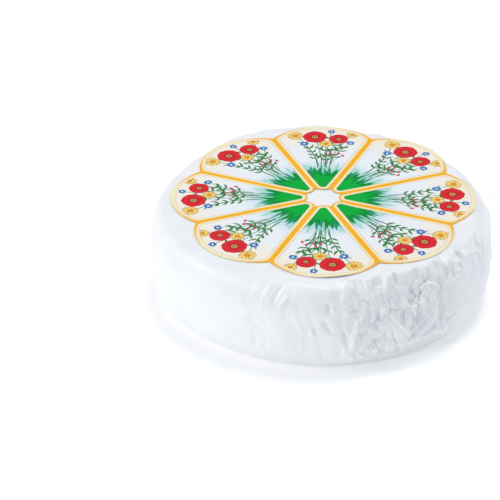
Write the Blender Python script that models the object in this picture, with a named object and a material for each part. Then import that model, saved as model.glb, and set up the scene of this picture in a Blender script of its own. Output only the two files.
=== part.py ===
"""A large wheel of soft cheese, shut in thin crumpled white paper, with eight wedge-shaped labels on top.

Metres, +Z up. The origin is the middle of the flat underside, and -Y is the side that faces the viewer.
"""

import math
import random

import bmesh
import bpy
import numpy as np
from mathutils import Vector
from mathutils.geometry import delaunay_2d_cdt

MM = 0.001

# The wheel's section: a flat top and base joined by a rounded shoulder, a short wall and a broad foot.
WHEEL_RADIUS = 0.113
WHEEL_HEIGHT = 0.060
SHOULDER_WIDTH = 0.009
SHOULDER_DROP = 0.018
FOOT_WIDTH = 0.012
FOOT_RISE = 0.024

# The wheel isn't quite round. For each number of lobes, the cosine and sine sway of its outline.
OUTLINE_SWAY = {2: (-0.0016, -0.0006), 3: (0.0003, -0.0017), 4: (0.0005, 0.0005)}

# The wrap is unrolled to lengths round the wheel and up its side, and on over the top's outer rim.
RIM_WIDTH = 0.008
GIRTH = 2 * math.pi * WHEEL_RADIUS

# The wrap's flat facets. Their corners lie in rows round the side: each row's length up the side, how far its
# corners stray from it, and how far they lift off the smooth form.
FACET_SEED = 5
FACET_STEP = 0.015
FACET_ROWS = (
    (0.0, 0.0, 0.0),
    (0.016, 0.005, 0.0),
    (0.034, 0.008, 0.0),
    (0.0525, 0.005, -0.0020),
    (0.0712, 0.0035, 0.0),
    (0.0768, 0.0, 0.0),
)
FACET_LIFT = 0.0012
FACET_SHAKE = 0.46

# Where round the wheel the wrap is crumpled: azimuth, spread and strength. Each fades by a bell's power.
CRUMPLED_DEG = (
    (-65, 22, 1.0), (-38, 24, 0.42), (-98, 24, 0.26), (8, 26, 0.32), (80, 40, 0.36), (150, 26, 0.26),
)
LEAST_CRUMPLED = 0.10
CRUMPLED_BELL = 4

# The broken edge of the top at the front right, as azimuths and radii. The side falls steeply away from it:
# from the ragged line at the top, and lower down from the plain one.
PLAIN_EDGE = (
    (-88, 0.112), (-79, 0.1062), (-73, 0.1017), (-62, 0.1008), (-50, 0.1026),
    (-42, 0.1050), (-35, 0.1046), (-27, 0.1074), (-15, 0.112),
)
RAGGED_EDGE = (
    (-86.0, 0.1110), (-79.4, 0.1052), (-76.8, 0.1046), (-73.4, 0.0992), (-70.2, 0.0982), (-68.4, 0.1018),
    (-66.2, 0.1004), (-65.0, 0.0978), (-61.2, 0.1022), (-56.6, 0.0994), (-53.0, 0.1034), (-48.6, 0.1012),
    (-46.7, 0.1030), (-45.4, 0.1058), (-43.4, 0.1070), (-40.6, 0.1042), (-36.8, 0.1020), (-34.6, 0.1052),
    (-32.2, 0.1066), (-29.2, 0.1044), (-27.6, 0.1070), (-25.4, 0.1088), (-22.5, 0.1098), (-17.0, 0.1118),
)
BREAK_FALL = 1.65
RAGGED_DROP = 0.008

# The creases that show most from the front: each a bent line of azimuths in degrees and heights in
# millimetres, then its depth, and how far it reaches on its steep left side and its shallow right side.
MAIN_CREASES = (
    (((-60.2, 59.0), (-58.6, 52.0), (-61.4, 46.5)), -2.4, 1.3, 4.0),
    (((-55.8, 53.4), (-59.3, 44.5), (-63.0, 43.1), (-65.0, 30.2)), -3.2, 1.4, 5.0),
    (((-61.8, 19.4), (-65.0, 28.8), (-73.2, 47.7)), 1.8, 1.2, 5.0),
    (((-66.5, 53.0), (-65.4, 44.0)), -1.6, 1.0, 3.0),
    (((-61.8, 19.4), (-59.8, 22.6), (-56.2, 29.0)), -1.8, 1.0, 3.5),
    (((-57.6, 17.0), (-52.0, 21.5)), -1.2, 0.9, 3.0),
    (((-49.2, 47.0), (-49.0, 28.6), (-49.8, 16.8)), -1.6, 1.2, 6.0),
    (((-55.6, 57.0), (-53.5, 54.1), (-49.0, 48.1)), 1.5, 1.0, 4.0),
    (((-48.5, 20.5), (-43.5, 24.0)), -1.0, 0.9, 3.0),
    (((-44.5, 57.8), (-46.2, 51.5)), -1.7, 1.1, 3.0),
    (((-37.8, 57.0), (-38.6, 50.5)), -1.3, 1.0, 3.0),
    (((-39.5, 30.0), (-35.8, 26.0)), -1.0, 1.0, 3.0),
    (((-78.0, 52.8), (-75.5, 47.7)), -1.5, 1.0, 2.8),
    (((-73.2, 45.6), (-72.5, 35.9)), -1.9, 1.1, 3.2),
    (((-70.4, 47.0), (-69.0, 37.0)), -1.3, 0.9, 2.6),
    (((-76.8, 44.7), (-80.2, 35.5)), 1.3, 1.0, 4.0),
    (((-80.2, 32.5), (-81.0, 25.3), (-83.5, 11.0)), 1.4, 1.2, 4.5),
    (((-88.8, 52.1), (-89.0, 44.5)), -1.7, 1.2, 3.6),
    (((-91.0, 40.8), (-88.2, 31.3)), -1.6, 1.2, 3.6),
    (((-94.6, 34.0), (-93.8, 27.5)), 1.0, 1.0, 3.0),
    (((-103.6, 59.6), (-105.6, 57.0), (-107.2, 47.0)), -1.4, 1.1, 3.2),
    (((-106.0, 44.0), (-102.6, 55.0)), 0.9, 1.0, 3.0),
    (((-113.0, 25.3), (-113.0, 11.7)), -0.9, 1.0, 3.2),
    (((-109.4, 22.5), (-109.2, 12.0)), -0.7, 0.9, 2.8),
)

# How a crease runs out at its two ends: the power of a half sine. The mesh is too coarse for the creases' full
# depth and their steepest sides, so they get this share of the depth and at least this reach in millimetres.
CREASE_ENDS = 0.6
DEPTH_SHARE = 0.75
LEAST_REACH = 1.6

# The mesh of the wrapped wheel, whose columns stand closer where it is crumpled. Its relief has these shares of
# its strength at these lengths from the base's edge, and runs out over the last length before the flat top.
COLUMNS = 192
COLUMN_STEPS = 2000
LEAST_DENSE = 0.35
ROWS = 27
PROFILE_STEPS = 400
OUTLINE_STEPS = 720
FOOT_LENGTHS = (0.0, 0.004, 0.016)
FOOT_SHARES = (0.0, 0.3, 1.0)
TOP_LENGTH = 0.004

# Two places nearer than this are one place, and a facet smaller than this many square metres is none.
SAME_PLACE = 1e-9
NO_AREA = 1e-12
EDGE_SLACK = 1e-6

# The labels: wedges round a hole, whose outer edges bulge past the notches between them.
LABEL_COUNT = 8
RING_CENTRE = (0.0014, 0.0028)
RING_TURN_DEG = -1.5
LABEL_REACH = 0.1005
NOTCH_REACH = 0.0890
TIP_REACH = 0.0104
TIP_CORNER_REACH = 0.0129
LABEL_THICKNESS = 0.0003
FIT_GAP = 0.0003
OUTER_ARC_STEPS = 16
TIP_ARC_STEPS = 6

WRAP_COLOUR = (0.86, 0.87, 0.90, 1.0)
WRAP_ROUGHNESS = 0.5
LABEL_COLOUR = (0.88, 0.86, 0.80, 1.0)
LABEL_ROUGHNESS = 0.35
SHARP_DEG = 40


def clear_scene():
    for obj in list(bpy.data.objects):
        bpy.data.objects.remove(obj, do_unlink=True)


def paper_material(name, colour, roughness):
    material = bpy.data.materials.new(name)
    material.use_nodes = True
    surface = material.node_tree.nodes["Principled BSDF"]
    surface.inputs["Base Color"].default_value = colour
    surface.inputs["Roughness"].default_value = roughness
    surface.inputs["Metallic"].default_value = 0.0
    return material


def outline_radius(angle):
    """The wheel's radius at its widest level, at these angles from +X."""
    radius = WHEEL_RADIUS + 0 * angle
    for lobes, (cosine, sine) in OUTLINE_SWAY.items():
        radius = radius + cosine * np.cos(lobes * angle) + sine * np.sin(lobes * angle)
    return radius


def outline_middle():
    """The middle of the outline's box, which the whole part is moved back by."""
    angle = np.linspace(0, 2 * math.pi, OUTLINE_STEPS, endpoint=False)
    x = outline_radius(angle) * np.cos(angle)
    y = outline_radius(angle) * np.sin(angle)
    return (x.max() + x.min()) / 2, (y.max() + y.min()) / 2


def side_profile():
    """The section from the base's edge up the side and in over the top's rim.

    Returns the length along it, the inset from the outline, the height and the outward normal.
    """
    turn = np.linspace(0, math.pi / 2, PROFILE_STEPS)
    foot_inset = FOOT_WIDTH * (1 - np.sin(turn))
    foot_height = FOOT_RISE * (1 - np.cos(turn))
    shoulder_inset = SHOULDER_WIDTH * (1 - np.cos(turn))
    shoulder_height = WHEEL_HEIGHT - SHOULDER_DROP * (1 - np.sin(turn))
    inset = np.concatenate([foot_inset, shoulder_inset, [SHOULDER_WIDTH + RIM_WIDTH]])
    height = np.concatenate([foot_height, shoulder_height, [WHEEL_HEIGHT]])
    length = np.concatenate([[0], np.cumsum(np.hypot(np.diff(inset), np.diff(height)))])
    normal_out = np.gradient(height)
    normal_up = np.gradient(inset)
    size = np.hypot(normal_out, normal_up)
    return length, inset, height, normal_out / size, normal_up / size


PROFILE = side_profile()
MIDDLE = outline_middle()
SIDE_LENGTH = PROFILE[0][-1]


def wheel_points(around, up, lift):
    """Points on the wheel, lifted off its smooth form, from lengths round it and up its side."""
    length, inset, height, normal_out, normal_up = PROFILE
    angle = around / WHEEL_RADIUS
    radius = outline_radius(angle) - np.interp(up, length, inset) + lift * np.interp(up, length, normal_out)
    level = np.interp(up, length, height) + lift * np.interp(up, length, normal_up)
    return np.stack([radius * np.cos(angle) - MIDDLE[0], radius * np.sin(angle) - MIDDLE[1], level], -1)


def up_the_side(height):
    """The length up the side at which it reaches this height."""
    length, _, level, _, _ = PROFILE
    return float(np.interp(height, level[:-1], length[:-1]))


def crumple_strength(around):
    """How crumpled the wrap is at these lengths round the wheel, from 0 to 1."""
    strength = LEAST_CRUMPLED + 0 * around
    for azimuth, spread, most in CRUMPLED_DEG:
        off = (np.degrees(around / WHEEL_RADIUS) - azimuth + 180) % 360 - 180
        strength = np.maximum(strength, most * np.exp(-((off / spread) ** CRUMPLED_BELL)))
    return strength


def facet_places(rng):
    """The corners of the wrap's large facets, in rows round the side, and how far each is lifted."""
    columns = round(GIRTH / FACET_STEP)
    places = []
    lifts = []
    for number, (up, shake, lift) in enumerate(FACET_ROWS):
        for column in range(columns):
            around = (column + number % 2 / 2 + rng.uniform(-FACET_SHAKE, FACET_SHAKE)) / columns * GIRTH
            places.append((around % GIRTH, min(up + rng.uniform(-shake, shake), SIDE_LENGTH)))
            lifts.append(lift + rng.uniform(-FACET_LIFT, FACET_LIFT))
    return places, np.array(lifts)


def facet_field(places, values, around, up):
    """Values over a grid of lengths round and up the side, by flat facets between the given places."""
    lap = 4 * FACET_STEP
    turned = [(s + turn * GIRTH, t, i) for turn in (-1, 0, 1) for i, (s, t) in enumerate(places)]
    spread = [(s, t, i) for s, t, i in turned if -lap < s < GIRTH + lap]
    flat = [Vector((s, t)) for s, t, _ in spread]
    corners, _, triangles, sources, _, _ = delaunay_2d_cdt(flat, [], [], 0, SAME_PLACE)
    field = np.zeros((len(up), len(around), values.shape[1]))
    for triangle in triangles:
        (ax, ay), (bx, by), (cx, cy) = (corners[i] for i in triangle)
        area = (bx - ax) * (cy - ay) - (cx - ax) * (by - ay)
        if abs(area) < NO_AREA:
            continue
        first, last = np.searchsorted(around, (min(ax, bx, cx), max(ax, bx, cx)))
        low, high = np.searchsorted(up, (min(ay, by, cy) - SAME_PLACE, max(ay, by, cy) + SAME_PLACE))
        s, t = np.meshgrid(around[first:last], up[low:high])
        share_b = ((s - ax) * (cy - ay) - (cx - ax) * (t - ay)) / area
        share_c = ((bx - ax) * (t - ay) - (s - ax) * (by - ay)) / area
        share_a = 1 - share_b - share_c
        inside = np.minimum(np.minimum(share_a, share_b), share_c) > -EDGE_SLACK
        a, b, c = (values[spread[sources[i][0]][2]] for i in triangle)
        shares = np.stack([share_a, share_b, share_c], -1)[inside]
        field[low:high, first:last][inside] = shares @ np.stack([a, b, c])
    return field


def path_relief(around, up, path, depth, steep, shallow):
    """The relief of a crease along a bent line: a ridge or valley, steep to its left, shallow to its right."""
    nearest = np.full(around.shape, np.inf)
    share = np.zeros(around.shape)
    left = np.zeros(around.shape, bool)
    total = sum(math.dist(a, b) for a, b in zip(path, path[1:]))
    run = 0
    for (start_s, start_t), (end_s, end_t) in zip(path, path[1:]):
        length = math.dist((start_s, start_t), (end_s, end_t))
        way_s, way_t = (end_s - start_s) / length, (end_t - start_t) / length
        off_s = (around - start_s + GIRTH / 2) % GIRTH - GIRTH / 2
        off_t = up - start_t
        along = np.clip(off_s * way_s + off_t * way_t, 0, length)
        distance = np.hypot(off_s - along * way_s, off_t - along * way_t)
        closer = distance < nearest
        nearest = np.where(closer, distance, nearest)
        share = np.where(closer, (run + along) / total, share)
        left = np.where(closer, way_s * off_t > way_t * off_s, left)
        run += length
    fall = np.clip(1 - nearest / np.where(left, steep, shallow), 0, 1)
    return depth * np.sin(math.pi * share) ** CREASE_ENDS * fall


def main_creases():
    """The main creases, as lengths round the wheel and up its side, with depth and reaches in metres."""
    creases = []
    for path, depth, *reaches in MAIN_CREASES:
        points = [(math.radians(turn) * WHEEL_RADIUS, up_the_side(height * MM)) for turn, height in path]
        steep, shallow = (max(reach, LEAST_REACH) * MM for reach in reaches)
        creases.append((points, depth * DEPTH_SHARE * MM, steep, shallow))
    return creases


def column_places():
    """The lengths round the wheel at which the mesh's columns stand."""
    fine = np.linspace(0, GIRTH, COLUMN_STEPS)
    dense = LEAST_DENSE + crumple_strength(fine)
    count = np.concatenate([[0], np.cumsum((dense[1:] + dense[:-1]) / 2)])
    return np.interp(np.arange(COLUMNS) / COLUMNS * count[-1], count, fine)


def break_edge(points):
    """Cuts the rounded shoulder back to the top's broken edge."""
    x, y = points[..., 0] + MIDDLE[0], points[..., 1] + MIDDLE[1]
    azimuth, radius = np.degrees(np.arctan2(y, x)), np.hypot(x, y)
    plain = BREAK_FALL * (radius - np.interp(azimuth, *zip(*PLAIN_EDGE)))
    ragged = BREAK_FALL * (radius - np.interp(azimuth, *zip(*RAGGED_EDGE)))
    share = np.clip(plain / RAGGED_DROP, 0, 1)
    drop = np.maximum(ragged + share * (plain - ragged), 0)
    points[..., 2] = np.minimum(points[..., 2], WHEEL_HEIGHT - drop)


def wheel_rows():
    """The wheel's mesh points, row by row from the base's edge to the flat under the labels."""
    around = column_places()
    up = np.linspace(0, SIDE_LENGTH, ROWS)
    grid_s, grid_t = np.meshgrid(around, up)
    smooth = wheel_points(grid_s, grid_t, 0 * grid_s)
    hold = np.interp(grid_t, FOOT_LENGTHS, FOOT_SHARES) * np.clip((SIDE_LENGTH - grid_t) / TOP_LENGTH, 0, 1)
    strength = crumple_strength(grid_s) * hold

    places, lifts = facet_places(random.Random(FACET_SEED))
    place_s, place_t = np.array(places).T
    faceted = facet_field(places, wheel_points(place_s, place_t, lifts), around, up)
    points = smooth + (faceted - smooth) * strength[..., None]
    break_edge(points)
    relief = sum(path_relief(grid_s, grid_t, *crease) for crease in main_creases())
    points += wheel_points(grid_s, grid_t, relief) - smooth
    points[..., 2] = np.clip(points[..., 2], 0, WHEEL_HEIGHT)
    points[-1, :, 2] = WHEEL_HEIGHT
    return points


def build_wheel(material):
    """The wrapped wheel: rows of quads up the side, closed by the flat base and the flat top."""
    mesh = bmesh.new()
    rows = [[mesh.verts.new(point) for point in row] for row in wheel_rows()]
    for lower, upper in zip(rows, rows[1:]):
        for column in range(COLUMNS):
            after = (column + 1) % COLUMNS
            mesh.faces.new((lower[column], lower[after], upper[after], upper[column]))
    mesh.faces.new(rows[-1])
    mesh.faces.new(rows[0][::-1])
    return add_object("wheel", mesh, material)


def arc_points(start, middle, end, steps):
    """Points on the circle through three points, from start to end."""
    (ax, ay), (bx, by), (cx, cy) = start, middle, end
    twice_area = 2 * (ax * (by - cy) + bx * (cy - ay) + cx * (ay - by))
    squares = ax * ax + ay * ay, bx * bx + by * by, cx * cx + cy * cy
    centre_x = (squares[0] * (by - cy) + squares[1] * (cy - ay) + squares[2] * (ay - by)) / twice_area
    centre_y = (squares[0] * (cx - bx) + squares[1] * (ax - cx) + squares[2] * (bx - ax)) / twice_area
    radius = math.hypot(ax - centre_x, ay - centre_y)
    first = math.atan2(ay - centre_y, ax - centre_x)
    sweep = math.atan2(cy - centre_y, cx - centre_x) - first
    sweep = (sweep + math.pi) % (2 * math.pi) - math.pi
    turns = [first + sweep * step / steps for step in range(steps + 1)]
    return [(centre_x + radius * math.cos(t), centre_y + radius * math.sin(t)) for t in turns]


def label_outline():
    """A label's cut outline with its own axis along +X, counter-clockwise from the tip."""
    half_angle = math.pi / LABEL_COUNT
    trim = FIT_GAP / 2 / math.sin(half_angle)

    def side_point(reach, sign):
        return trim + reach * math.cos(half_angle), sign * reach * math.sin(half_angle)

    tip_middle = TIP_REACH + trim, 0
    tip_ends = side_point(TIP_CORNER_REACH, 1), side_point(TIP_CORNER_REACH, -1)
    outer_middle = LABEL_REACH, 0
    outer_ends = side_point(NOTCH_REACH, -1), side_point(NOTCH_REACH, 1)
    tip = arc_points(tip_ends[0], tip_middle, tip_ends[1], TIP_ARC_STEPS)
    return tip + arc_points(outer_ends[0], outer_middle, outer_ends[1], OUTER_ARC_STEPS)


def build_label(number, material):
    """One portion label: a thin plate a hair above the wheel's flat top."""
    turn = math.radians(RING_TURN_DEG) + number * 2 * math.pi / LABEL_COUNT
    mesh = bmesh.new()
    corners = [mesh.verts.new((x, y, 0)) for x, y in label_outline()]
    face = mesh.faces.new(corners)
    raised = bmesh.ops.extrude_face_region(mesh, geom=[face])["geom"]
    top = [item for item in raised if isinstance(item, bmesh.types.BMVert)]
    bmesh.ops.translate(mesh, verts=top, vec=(0, 0, LABEL_THICKNESS))
    bmesh.ops.recalc_face_normals(mesh, faces=mesh.faces)
    label = add_object(f"label_{number + 1}", mesh, material)
    label.location = (*RING_CENTRE, WHEEL_HEIGHT + FIT_GAP)
    label.rotation_euler.z = turn
    return label


def add_object(name, mesh, material):
    data = bpy.data.meshes.new(name)
    mesh.to_mesh(data)
    mesh.free()
    data.materials.append(material)
    obj = bpy.data.objects.new(name, data)
    bpy.context.scene.collection.objects.link(obj)
    return obj


def main():
    clear_scene()
    wheel = build_wheel(paper_material("wrap_paper", WRAP_COLOUR, WRAP_ROUGHNESS))
    wheel.data.shade_smooth()
    wheel.data.set_sharp_from_angle(angle=math.radians(SHARP_DEG))
    label_paper = paper_material("label_paper", LABEL_COLOUR, LABEL_ROUGHNESS)
    for number in range(LABEL_COUNT):
        label = build_label(number, label_paper)
        label.parent = wheel


main()
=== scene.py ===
"""The looks of a large wheel of soft cheese, shut in crumpled white paper, with eight printed portion labels.

Metres, +Z up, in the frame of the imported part: the origin is the middle of the flat underside, and -Y faces
the viewer.
"""

import math
import random

import bpy
import numpy as np
from mathutils import Matrix, Vector
from mathutils.geometry import delaunay_2d_cdt


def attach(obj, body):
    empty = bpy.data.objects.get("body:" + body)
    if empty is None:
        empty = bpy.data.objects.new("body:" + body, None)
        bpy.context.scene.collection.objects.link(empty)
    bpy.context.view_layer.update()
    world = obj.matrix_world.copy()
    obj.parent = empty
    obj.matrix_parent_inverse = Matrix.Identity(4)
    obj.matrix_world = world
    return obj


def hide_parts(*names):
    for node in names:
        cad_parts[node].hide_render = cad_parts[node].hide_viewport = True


MM = 0.001

# The wheel's section, as in the part: a flat top and base, a rounded shoulder, a short wall and a broad foot.
WHEEL_RADIUS = 0.113
WHEEL_HEIGHT = 0.060
SHOULDER_WIDTH = 0.009
SHOULDER_DROP = 0.018
FOOT_WIDTH = 0.012
FOOT_RISE = 0.024
OUTLINE_SWAY = {2: (-0.0016, -0.0006), 3: (0.0003, -0.0017), 4: (0.0005, 0.0005)}
OUTLINE_STEPS = 720
PROFILE_STEPS = 400

# The wrap is unrolled to lengths round the wheel and up its side, and on over the top's outer rim.
RIM_WIDTH = 0.008
GIRTH = 2 * math.pi * WHEEL_RADIUS

# The wrap's flat facets. Their corners lie in rows round the side: each row's length up the side, how far its
# corners stray from it, and how far they lift off the smooth form. The plan of them laps over the seam.
FACET_SEED = 5
FACET_STEP = 0.015
FACET_ROWS = (
    (0.0, 0.0, 0.0),
    (0.016, 0.005, 0.0),
    (0.034, 0.008, 0.0),
    (0.0525, 0.005, -0.0020),
    (0.0712, 0.0035, 0.0),
    (0.0768, 0.0, 0.0),
)
FACET_LIFT = 0.0012
FACET_SHAKE = 0.46
SEAM_LAP = GIRTH / 12

# Smaller facets over the large ones: their steps round the wheel and up its side, and how far they lift.
SMALL_FACETS = ((0.0066, 0.0150, 0.00080), (0.0034, 0.0090, 0.00030))

# Where round the wheel the wrap is crumpled: azimuth, spread and strength, and the power by which each fades.
CRUMPLED_DEG = (
    (-65, 22, 1.0),
    (-38, 24, 0.42),
    (-98, 24, 0.26),
    (8, 26, 0.32),
    (80, 40, 0.36),
    (150, 26, 0.26),
)
LEAST_CRUMPLED = 0.10
CRUMPLED_BELL = 4

# Two places nearer than this are one place, and a facet smaller than this many square metres is none.
SAME_PLACE = 1e-9
NO_AREA = 1e-12
EDGE_SLACK = 1e-6

# The broken edge of the top at the front right, as azimuths and radii. The side falls steeply away from it:
# from the ragged line at the top, and lower down from the plain one.
PLAIN_EDGE = (
    (-88, 0.112), (-79, 0.1062), (-73, 0.1017), (-62, 0.1008), (-50, 0.1026),
    (-42, 0.1050), (-35, 0.1046), (-27, 0.1074), (-15, 0.112),
)
RAGGED_EDGE = (
    (-86.0, 0.1110), (-79.4, 0.1052), (-76.8, 0.1046), (-73.4, 0.0992), (-70.2, 0.0982), (-68.4, 0.1018),
    (-66.2, 0.1004), (-65.0, 0.0978), (-61.2, 0.1022), (-56.6, 0.0994), (-53.0, 0.1034), (-48.6, 0.1012),
    (-46.7, 0.1030), (-45.4, 0.1058), (-43.4, 0.1070), (-40.6, 0.1042), (-36.8, 0.1020), (-34.6, 0.1052),
    (-32.2, 0.1066), (-29.2, 0.1044), (-27.6, 0.1070), (-25.4, 0.1088), (-22.5, 0.1098), (-17.0, 0.1118),
)
BREAK_FALL = 1.65
RAGGED_DROP = 0.008

# The creases that show most from the front: each a bent line of azimuths in degrees and heights in
# millimetres, then its depth, and how far it reaches on its steep left side and its shallow right side.
MAIN_CREASES = (
    (((-60.2, 59.0), (-58.6, 52.0), (-61.4, 46.5)), -2.4, 1.3, 4.0),
    (((-55.8, 53.4), (-59.3, 44.5), (-63.0, 43.1), (-65.0, 30.2)), -3.2, 1.4, 5.0),
    (((-61.8, 19.4), (-65.0, 28.8), (-73.2, 47.7)), 1.8, 1.2, 5.0),
    (((-66.5, 53.0), (-65.4, 44.0)), -1.6, 1.0, 3.0),
    (((-61.8, 19.4), (-59.8, 22.6), (-56.2, 29.0)), -1.8, 1.0, 3.5),
    (((-57.6, 17.0), (-52.0, 21.5)), -1.2, 0.9, 3.0),
    (((-49.2, 47.0), (-49.0, 28.6), (-49.8, 16.8)), -1.6, 1.2, 6.0),
    (((-55.6, 57.0), (-53.5, 54.1), (-49.0, 48.1)), 1.5, 1.0, 4.0),
    (((-48.5, 20.5), (-43.5, 24.0)), -1.0, 0.9, 3.0),
    (((-44.5, 57.8), (-46.2, 51.5)), -1.7, 1.1, 3.0),
    (((-37.8, 57.0), (-38.6, 50.5)), -1.3, 1.0, 3.0),
    (((-39.5, 30.0), (-35.8, 26.0)), -1.0, 1.0, 3.0),
    (((-78.0, 52.8), (-75.5, 47.7)), -1.5, 1.0, 2.8),
    (((-73.2, 45.6), (-72.5, 35.9)), -1.9, 1.1, 3.2),
    (((-70.4, 47.0), (-69.0, 37.0)), -1.3, 0.9, 2.6),
    (((-76.8, 44.7), (-80.2, 35.5)), 1.3, 1.0, 4.0),
    (((-80.2, 32.5), (-81.0, 25.3), (-83.5, 11.0)), 1.4, 1.2, 4.5),
    (((-88.8, 52.1), (-89.0, 44.5)), -1.7, 1.2, 3.6),
    (((-91.0, 40.8), (-88.2, 31.3)), -1.6, 1.2, 3.6),
    (((-94.6, 34.0), (-93.8, 27.5)), 1.0, 1.0, 3.0),
    (((-103.6, 59.6), (-105.6, 57.0), (-107.2, 47.0)), -1.4, 1.1, 3.2),
    (((-106.0, 44.0), (-102.6, 55.0)), 0.9, 1.0, 3.0),
    (((-113.0, 25.3), (-113.0, 11.7)), -0.9, 1.0, 3.2),
    (((-109.4, 22.5), (-109.2, 12.0)), -0.7, 0.9, 2.8),
)

# How a crease runs out at its two ends: the power of a half sine.
CREASE_ENDS = 0.6

# The small creases, drawn at random where the wrap is crumpled, in groups of arms. A group starts between
# these shares of the side's length. About two arms of three are valleys. Where the wrap is little crumpled,
# they are shallow.
CREASE_SEED = 11
CREASE_COUNT = 640
CREASE_STARTS = (0.1, 0.9)
CREASE_ARMS = (2, 3, 4)
CREASE_BENDS = 2
CREASE_LENGTH_MM = (5, 24)
CREASE_DEPTH_MM = (0.3, 1.2)
CREASE_SIGNS = (-1, -1, 1)
LEAST_DEPTH = 0.1
CREASE_STEEP_MM = (0.6, 1.1)
CREASE_SHALLOW_MM = (1.6, 5.0)
CREASE_LEAN_DEG = 20
CREASE_BEND_DEG = 26

# The mesh's columns stand closer where the wrap is crumpled.
COLUMNS = 940
ROWS = 104
LEAST_DENSE = 0.35
COLUMN_STEPS = 4 * COLUMNS

# The relief has these shares of its strength at these lengths from the base's edge, and it runs out over this
# length before the flat top. The last rows of the mesh are level.
FOOT_LENGTHS = (0.0, 0.004, 0.016)
FOOT_SHARES = (0.0, 0.3, 1.0)
TOP_LENGTH = 0.004
LEVEL_ROWS = 2

# Outside the labels the rim may rise this far over the flat top, from one radius to the other.
RIM_PUFF = 0.0007
PUFF_RADII = (0.1036, 0.1058)

# The labels, as in the part, but closer together.
LABEL_COUNT = 8
RING_CENTRE = (0.0014, 0.0028)
RING_TURN_DEG = -1.5
LABEL_REACH = 0.1005
NOTCH_REACH = 0.0890
TIP_REACH = 0.0104
TIP_CORNER_REACH = 0.0129
FIT_GAP = 0.00006
ARC_STEPS = 24
CORNER_STEPS = 8

# How the labels lie: how thick a sheet is, how high its face lies over the wheel's top, and how far, in how
# many waves and of which lengths it is uneven. The front label's edge is loose: where, how wide and how high.
SHEET_THICKNESS = 0.00025
SHEET_HEIGHT = 0.0005
SHEET_UNEVEN = 0.00010
SHEET_WAVES = 4
SHEET_WAVE_LENGTHS = (0.018, 0.045)
LOOSE_LABEL = 6
LOOSE_PLACE = (0.100, 0.010)
LOOSE_REACH = (0.006, 0.012)
LOOSE_HEIGHT = 0.0008

# The lines of a label's border: how far inside its sides, where round its tip, and the radius of the corners.
BAND_LINE = (0.00175, 0.0116, 0.0062)
CREAM_LINE = (0.0033, 0.0133, 0.0056)
PANEL_LINE = (0.0036, 0.0137, 0.0053)

# The print's colours, as they show, from 0 to 255. Tan also paints shade on the labels' cut edges.
INKS = {
    "orange": (252, 184, 40),
    "straw": (246, 235, 190),
    "cream": (246, 235, 206),
    "tan": (221, 193, 158),
    "beige": (246, 238, 222),
    "lavender": (237, 241, 246),
    "sky": (200, 226, 236),
    "emerald": (0, 174, 60),
    "green": (2, 148, 58),
    "deep_green": (4, 110, 52),
    "teal": (36, 150, 118),
    "mint": (176, 222, 214),
    "leaf": (38, 122, 62),
    "leaf_light": (120, 180, 90),
    "red": (222, 44, 52),
    "deep_red": (176, 22, 44),
    "pink": (208, 70, 96),
    "yellow": (251, 217, 116),
    "amber": (240, 146, 62),
    "brown": (122, 76, 48),
    "blue": (44, 112, 182),
    "white": (250, 250, 248),
}

# The print's bunch of flowers, in millimetres along a label's axis and to its left: where each flower is, how
# far its petals reach and how many it has.
POPPIES = ((85.0, 5.0, 8.4, 5), (82.0, -11.5, 6.4, 5))
DAISIES = ((86.5, 18.5, 5.4, 12), (75.0, -2.5, 4.6, 11), (88.5, -21.0, 4.2, 10))
CORNFLOWERS = ((75.0, 12.5, 3.4, 8), (93.0, -6.5, 2.9, 7), (76.5, -19.5, 3.0, 7))
BUDS = ((58.0, -7.5), (60.5, -11.5), (57.0, -14.0), (62.5, -5.5), (59.0, -2.5))
STEM_FOOT = (30.0, 0.0)
STEM_WIDTH = 0.55
PETAL_EDGE = 0.28
PRINT_SEED = 4

# The print's blends. The band's runs by degrees off the axis, but up to this distance from the tip it has one
# colour, that of a right angle. The others run by the distance from the ring's centre, in millimetres, and a
# poppy's by the share of its reach.
BAND_STOPS = ((16, "straw"), (48, "orange"))
BAND_SIDES_END = 70
BAND_SIDE_DEG = 90
PANEL_STOPS = ((34, "sky"), (41, "sky"), (52, "lavender"), (66, "lavender"), (86, "beige"))
TIP_STOPS = ((14, "emerald"), (24, "emerald"), (33, "green"))
POPPY_STOPS = ((0.15, "deep_red"), (0.6, "red"), (1.0, "red"))

# How finely the print's shapes are drawn, and the lattice of further corners that carries the blends: its
# step and the spans that it covers along and across a label, in millimetres.
LEAF_STEPS = 9
STEM_STEPS = 9
DISC_STEPS = 14
SMALL_DISC_STEPS = 9
SPECK_STEPS = 7
LATTICE_STEP = 2.6
LATTICE_ALONG = (8, 102)
LATTICE_ACROSS = (-40, 40)
SAME_CORNER = 1e-3

# A petal's form: where it is fullest, how blunt its ends are and how plump it is.
POPPY_PETAL = (0.68, 0.5, 1.0)
DAISY_PETAL = (0.66, 0.6, 0.86)
CORNFLOWER_PETAL = (0.72, 0.8, 0.8)
PETAL_SWAY_DEG = 5
PETAL_LENGTHS = (0.92, 1.05)

# A flower's heart, as shares of its reach.
POPPY_HEART = 0.26
POPPY_RING = 0.2
POPPY_SPECK = 0.05
POPPY_SPECK_DEG = 40
POPPY_EYE = 0.1
DAISY_RIM = 0.36
DAISY_HEART = 0.3
CORNFLOWER_HEART = 0.24

# How a stem's foot shifts and how it bends for each millimetre that its head is off the axis, and the leaves
# along it: where they grow, how far they lean, how long and wide they are, and their form.
FOOT_SHIFT = 0.18
STEM_BEND = -0.004
STEM_SWAY = 0.02
LEAF_PLACES = (0.5, 0.66, 0.8)
LEAF_SHIFT = 0.05
LEAF_LEAN_DEG = (32, 52)
LEAF_LENGTHS = (4.4, 6.6)
LEAF_WIDTHS = (1.5, 2.1)
LEAF_FULLEST = 0.42
LEAF_BLUNT = 0.9
LEAF_BEND = 0.1
VEIN_REACH = 0.8
VEIN_WIDTH = 0.16

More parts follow.
